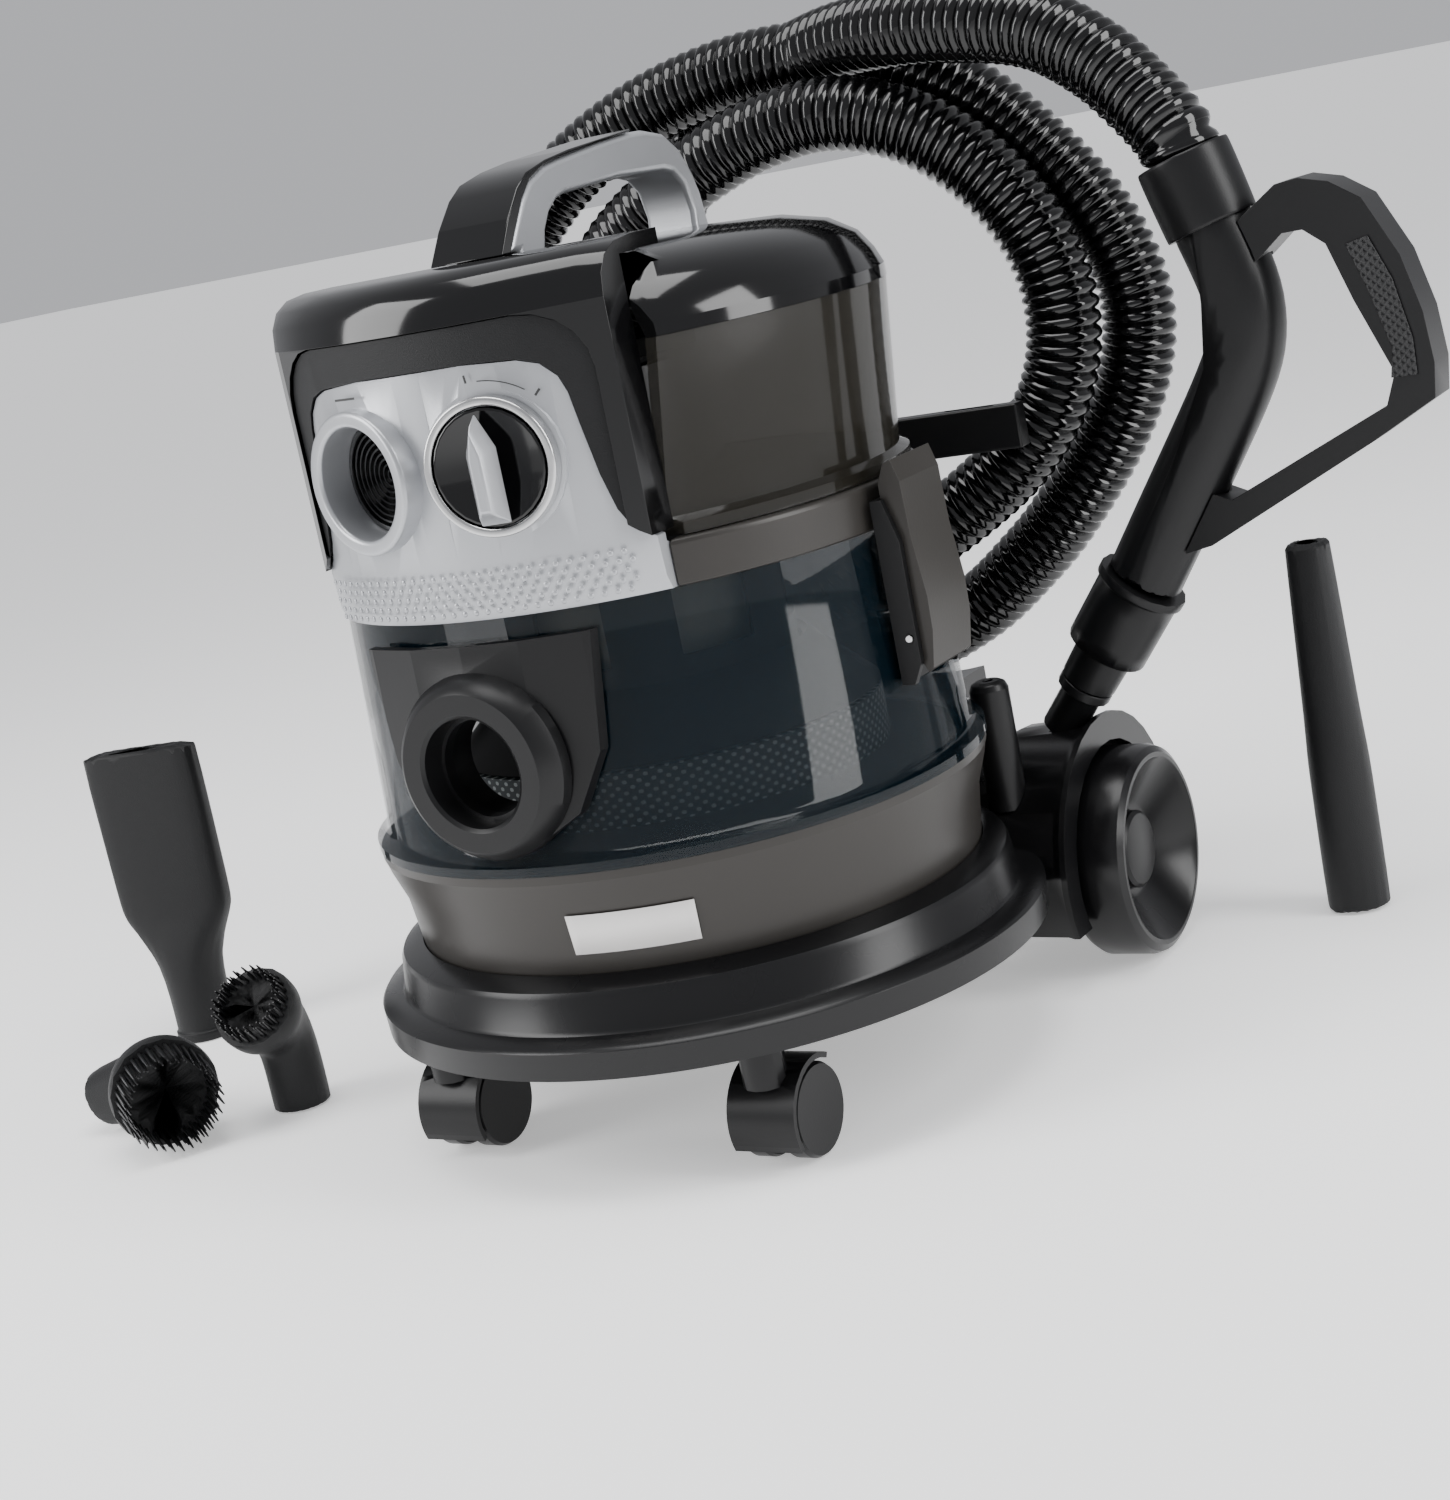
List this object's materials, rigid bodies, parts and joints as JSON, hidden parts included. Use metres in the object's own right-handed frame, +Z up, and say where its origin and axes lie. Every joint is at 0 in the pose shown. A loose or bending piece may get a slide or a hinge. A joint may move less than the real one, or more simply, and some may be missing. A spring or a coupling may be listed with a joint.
{
  "type": "car dryer blower",
  "caption": "Canister blower and vacuum for drying cars: round drum on a wheeled trolley, motor head with handle and blower port, coiled ribbed hose, grip wand, nozzles and brushes.",
  "frame": {"origin": "on the floor under the drum's axis", "axes": "+Z up, -Y is the front where the inlet and the controls are, +X is the side of the parked wand"},
  "size_m": [0.89, 0.5506, 0.5791],
  "materials": {
    "trolley": "satin moulded",
    "satin": "satin moulded",
    "gloss": "polished",
    "wheel": "semi-gloss",
    "pan": "satin",
    "clear": "smoked, see-through",
    "silver": "satin silver paint",
    "steel": "bright",
    "matte": "fine texture",
    "filter": "pleated",
    "bristle": "stiff bristles"
  },
  "bodies": {
    "trolley": {"base_trolley": "trolley", "tool_peg": "trolley", "wand_peg": "trolley", "rear_axle": "steel", "lower_pan": "pan", "drum_clear": "clear", "inlet_port": "satin", "drum_ring": "pan", "tool_bracket": "satin", "hose_tube": "gloss", "hose_connector": "satin", "hose_cuff": "satin", "wand_tube": "satin", "wand_ring": "satin", "wand_tip": "satin", "wand_handle": "satin", "grip_pad": "matte", "latch_bracket_right": "trolley", "latch_bracket_left": "trolley", "latch_pin_right": "steel", "latch_pin_left": "steel"},
    "head": {"head_base": "satin", "head_shell": "gloss", "head_lid": "gloss", "front_hood": "gloss", "inlay_trim": "matte", "control_panel": "silver", "blower_collar": "silver", "blower_grille": "satin", "knob_ring": "steel", "carry_handle": "silver", "handle_cover": "gloss", "motor_field": "steel", "cyclone_skirt": "satin", "filter_cage": "satin", "filter_cartridge": "filter", "filter_bolt": "steel"},
    "knob": {"knob_dial": "gloss", "knob_pointer": "silver"},
    "rotor": {"motor_rotor": "steel", "fan_wheel": "satin"},
    "nut": {"filter_nut": "satin"},
    "wide": {"wide_nozzle": "matte"},
    "crevice": {"crevice_tool": "matte"},
    "short_brush": {"brush_short": "matte", "brush_short_bristles": "bristle"},
    "long_brush": {"brush_long": "matte", "brush_long_bristles": "bristle"},
    "wheel_right": {"rear_wheel_right": "wheel", "hub_cap_right": "wheel"},
    "fork_right": {"castor_fork_right": "trolley"},
    "castor_right": {"castor_wheels_right": "trolley"},
    "latch_right": {"latch_lever_right": "pan"},
    "wheel_left": {"rear_wheel_left": "wheel", "hub_cap_left": "wheel"},
    "fork_left": {"castor_fork_left": "trolley"},
    "castor_left": {"castor_wheels_left": "trolley"},
    "latch_left": {"latch_lever_left": "pan"}
  },
  "joints": [
    {"name": "head_lift", "type": "slide", "parent": "trolley", "child": "head", "axis": [0, 0, 1], "range_m": [0, 0.25]},
    {"name": "knob_turn", "type": "hinge", "parent": "head", "child": "knob", "pos_m": [0.0395, -0.1633, 0.3824], "axis": [-0.2351, 0.972, 0], "range_deg": [0, 45]},
    {"name": "rotor_spin", "type": "hinge", "parent": "head", "child": "rotor", "pos_m": [0, 0, 0.333], "axis": [0, 0, 1], "continuous": true},
    {"name": "nut_spin", "type": "hinge", "parent": "head", "child": "nut", "pos_m": [0, 0, 0.213], "axis": [0, 0, 1], "continuous": true},
    {"name": "wheel_spin_right", "type": "hinge", "parent": "trolley", "child": "wheel_right", "pos_m": [0.1585, 0.19, 0.0625], "axis": [1, 0, 0], "continuous": true},
    {"name": "fork_swivel_right", "type": "hinge", "parent": "trolley", "child": "fork_right", "pos_m": [0.101, -0.13, 0.085], "axis": [0, 0, 1], "continuous": true},
    {"name": "castor_spin_right", "type": "hinge", "parent": "fork_right", "child": "castor_right", "pos_m": [0.101, -0.114, 0.025], "axis": [1, 0, 0], "continuous": true},
    {"name": "latch_swing_right", "type": "hinge", "parent": "trolley", "child": "latch_right", "pos_m": [0.1735, 0, 0.2494], "axis": [0, 1, 0], "range_deg": [0, 20]},
    {"name": "wheel_spin_left", "type": "hinge", "parent": "trolley", "child": "wheel_left", "pos_m": [-0.1585, 0.19, 0.0625], "axis": [1, 0, 0], "continuous": true},
    {"name": "fork_swivel_left", "type": "hinge", "parent": "trolley", "child": "fork_left", "pos_m": [-0.101, -0.13, 0.085], "axis": [0, 0, 1], "continuous": true},
    {"name": "castor_spin_left", "type": "hinge", "parent": "fork_left", "child": "castor_left", "pos_m": [-0.101, -0.114, 0.025], "axis": [1, 0, 0], "continuous": true},
    {"name": "latch_swing_left", "type": "hinge", "parent": "trolley", "child": "latch_left", "pos_m": [-0.1735, 0, 0.2494], "axis": [0, -1, 0], "range_deg": [0, 20]},
    {"name": "wide_lift", "type": "slide", "parent": "trolley", "child": "wide", "axis": [0, 0, 1], "range_m": [0, 0.2]},
    {"name": "crevice_lift", "type": "slide", "parent": "trolley", "child": "crevice", "axis": [0, 0, 1], "range_m": [0, 0.2]},
    {"name": "short_brush_lift", "type": "slide", "parent": "trolley", "child": "short_brush", "axis": [0, 0, 1], "range_m": [0, 0.2]},
    {"name": "long_brush_lift", "type": "slide", "parent": "trolley", "child": "long_brush", "axis": [0, 0, 1], "range_m": [0, 0.2]}
  ]
}
